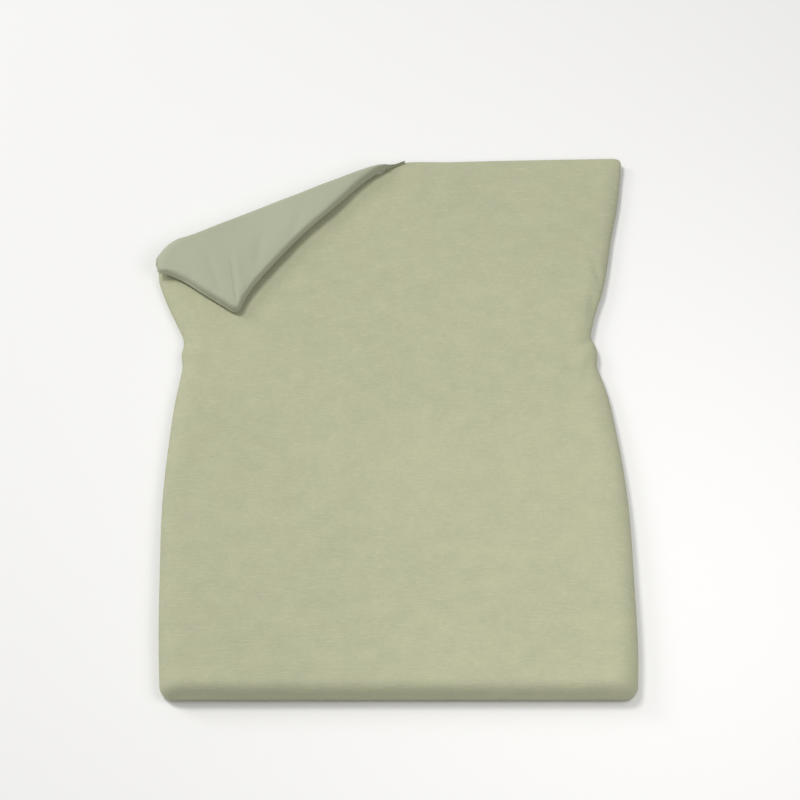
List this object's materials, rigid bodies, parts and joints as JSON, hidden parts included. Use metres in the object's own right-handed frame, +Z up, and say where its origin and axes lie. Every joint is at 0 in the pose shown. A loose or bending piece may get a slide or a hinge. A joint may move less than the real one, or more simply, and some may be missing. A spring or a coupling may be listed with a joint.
{
  "type": "duvet",
  "caption": "Filled duvet in a plain cover, lying flat with one head corner turned back over a diagonal crease.",
  "frame": {"origin": "on the supporting surface, under the middle of the bounding box", "axes": "+Z up, +Y from the foot edge to the head edge, +X to the right as seen from the foot"},
  "size_m": [1.5436, 1.9437, 0.0978],
  "materials": {
    "cover_front_cloth": "matte",
    "cover_back_cloth": "matte",
    "button": "matte",
    "cover_tape": "matte",
    "label": "matte",
    "ticking": "matte",
    "filling": "matte",
    "insert_piping": "matte",
    "insert_tape": "matte"
  },
  "bodies": {
    "duvet": {"cover_front": "cover_front_cloth", "cover_back": "cover_back_cloth", "placket_buttonhole_strip": "cover_front_cloth", "placket_button_strip": "cover_back_cloth", "cover_buttons": "button", "cover_corner_ties": "cover_tape", "cover_care_label": "label", "insert_ticking_top": "ticking", "insert_ticking_bottom": "ticking", "insert_fill": "filling", "insert_piping": "insert_piping", "insert_corner_loops": "insert_tape", "insert_care_label": "label"},
    "turned_corner": {"cover_front_corner": "cover_front_cloth", "cover_back_corner": "cover_back_cloth", "cover_corner_tie_turned": "cover_tape", "insert_ticking_top_corner": "ticking", "insert_ticking_bottom_corner": "ticking", "insert_fill_corner": "filling", "insert_piping_corner": "insert_piping", "insert_corner_loop_turned": "insert_tape"}
  },
  "joints": [
    {"name": "corner_fold", "type": "hinge", "parent": "duvet", "child": "turned_corner", "pos_m": [-0.3625, 0.7695, 0.04729], "axis": [-0.9033, -0.4289, 0.0101], "range_deg": [0, 178]}
  ]
}
